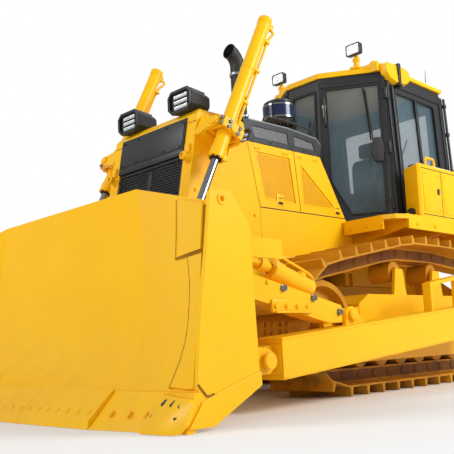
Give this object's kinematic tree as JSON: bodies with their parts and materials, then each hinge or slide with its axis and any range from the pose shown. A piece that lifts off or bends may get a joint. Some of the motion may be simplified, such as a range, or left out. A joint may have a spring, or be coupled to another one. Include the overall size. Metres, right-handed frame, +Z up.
{
  "type": "crawler bulldozer",
  "caption": "Crawler dozer with a curved winged blade on two push arms, side lift cylinders, steel tracks, closed cab and gull-wing engine doors.",
  "frame": {"origin": "on the ground, under the middle of the machine's bounding box", "axes": "+X towards the driver's left, +Y rearwards from the blade to the hitch, +Z up"},
  "size_m": [4.136, 6.3499, 3.652],
  "materials": {
    "yellow_paint": "semi-gloss",
    "wear_steel": "satin",
    "track_paint": "satin",
    "pin_steel": "satin",
    "black_paint": "satin",
    "glass": "gloss",
    "rod_chrome": "polished",
    "engine_grey": "matt",
    "seat_cloth": "matt",
    "inside_plastic": "matt"
  },
  "bodies": {
    "tractor": {"track_left": "track_paint", "track_right": "track_paint", "idlers": "track_paint", "sprockets": "track_paint", "track_rollers": "track_paint", "carrier_rollers": "track_paint", "track_frame_left": "yellow_paint", "track_frame_right": "yellow_paint", "main_frame": "yellow_paint", "belly_guard": "yellow_paint", "power_case": "yellow_paint", "pivot_shaft": "pin_steel", "equalizer_bar": "yellow_paint", "final_drives": "yellow_paint", "engine": "engine_grey", "drawbar": "yellow_paint", "radiator_guard": "yellow_paint", "header_panel": "black_paint", "grille": "black_paint", "side_panels": "yellow_paint", "hood_top": "yellow_paint", "hood_screens": "black_paint", "hood_lamps": "black_paint", "exhaust": "black_paint", "precleaner": "black_paint", "cab_frame": "black_paint", "cab_windows": "glass", "cab_roof": "black_paint", "roof_lamps": "black_paint", "seat_base": "inside_plastic", "seat_cushion": "seat_cloth", "seat_backrest": "seat_cloth", "consoles": "inside_plastic", "cab_platform": "yellow_paint", "fenders": "yellow_paint", "side_tank_left": "yellow_paint", "side_tank_right": "yellow_paint", "fuel_tank": "yellow_paint", "lift_yokes": "yellow_paint"},
    "blade": {"moldboard": "yellow_paint", "cutting_edge": "wear_steel", "end_bits": "wear_steel", "corner_bits": "wear_steel", "push_arm_left": "yellow_paint", "push_arm_right": "yellow_paint", "blade_braces": "yellow_paint", "blade_pins": "pin_steel"},
    "lift_barrel_left": {"lift_barrel_left": "yellow_paint"},
    "lift_rod_left": {"lift_rod_left": "rod_chrome"},
    "lift_barrel_right": {"lift_barrel_right": "yellow_paint"},
    "lift_rod_right": {"lift_rod_right": "rod_chrome"},
    "engine_door_front_left": {"engine_door_front_left": "yellow_paint"},
    "engine_door_front_right": {"engine_door_front_right": "yellow_paint"},
    "engine_door_rear_left": {"engine_door_rear_left": "yellow_paint"},
    "engine_door_rear_right": {"engine_door_rear_right": "yellow_paint"},
    "cab_door_left": {"cab_door_left": "black_paint", "door_glass_left": "glass"},
    "cab_door_right": {"cab_door_right": "black_paint", "door_glass_right": "glass"}
  },
  "joints": [
    {"name": "blade_lift", "type": "hinge", "parent": "tractor", "child": "blade", "pos_m": [0, 1.2, 0.62], "axis": [-1, 0, 0], "range_deg": [-7.5, 16]},
    {"name": "lift_swing_left", "type": "hinge", "parent": "tractor", "child": "lift_barrel_left", "pos_m": [0.78, -1.434, 2.23], "axis": [-1, 0, 0], "range_deg": [-7.72, 16.14]},
    {"name": "lift_stroke_left", "type": "slide", "parent": "lift_barrel_left", "child": "lift_rod_left", "axis": [0, 0.4555, 0.8902], "range_m": [-0.406, 0.861]},
    {"name": "lift_swing_right", "type": "hinge", "parent": "tractor", "child": "lift_barrel_right", "pos_m": [-0.78, -1.434, 2.23], "axis": [-1, 0, 0], "range_deg": [-7.72, 16.14]},
    {"name": "lift_stroke_right", "type": "slide", "parent": "lift_barrel_right", "child": "lift_rod_right", "axis": [0, 0.4555, 0.8902], "range_m": [-0.406, 0.861]},
    {"name": "engine_door_front_left_hinge", "type": "hinge", "parent": "tractor", "child": "engine_door_front_left", "pos_m": [0.575, -0.62, 2.27], "axis": [0, -1, 0], "range_deg": [0, 85]},
    {"name": "engine_door_front_right_hinge", "type": "hinge", "parent": "tractor", "child": "engine_door_front_right", "pos_m": [-0.575, -0.62, 2.27], "axis": [0, 1, 0], "range_deg": [0, 85]},
    {"name": "engine_door_rear_left_hinge", "type": "hinge", "parent": "tractor", "child": "engine_door_rear_left", "pos_m": [0.575, -0.11, 2.27], "axis": [0, -1, 0], "range_deg": [0, 85]},
    {"name": "engine_door_rear_right_hinge", "type": "hinge", "parent": "tractor", "child": "engine_door_rear_right", "pos_m": [-0.575, -0.11, 2.27], "axis": [0, 1, 0], "range_deg": [0, 85]},
    {"name": "cab_door_left_hinge", "type": "hinge", "parent": "tractor", "child": "cab_door_left", "pos_m": [0.84522, 0.91211, 2.44129], "axis": [-0.0243, 0.0362, 0.999], "range_deg": [0, 95]},
    {"name": "cab_door_right_hinge", "type": "hinge", "parent": "tractor", "child": "cab_door_right", "pos_m": [-0.84522, 0.91211, 2.44129], "axis": [-0.0243, -0.0362, -0.999], "range_deg": [0, 95]}
  ],
  "couplings": [
    {"joint": "lift_swing_left", "follows": "blade_lift", "ratio": 0.99},
    {"joint": "lift_stroke_left", "follows": "blade_lift", "m_per_rad": 3.07},
    {"joint": "lift_swing_right", "follows": "blade_lift", "ratio": 0.99},
    {"joint": "lift_stroke_right", "follows": "blade_lift", "m_per_rad": 3.07}
  ]
}
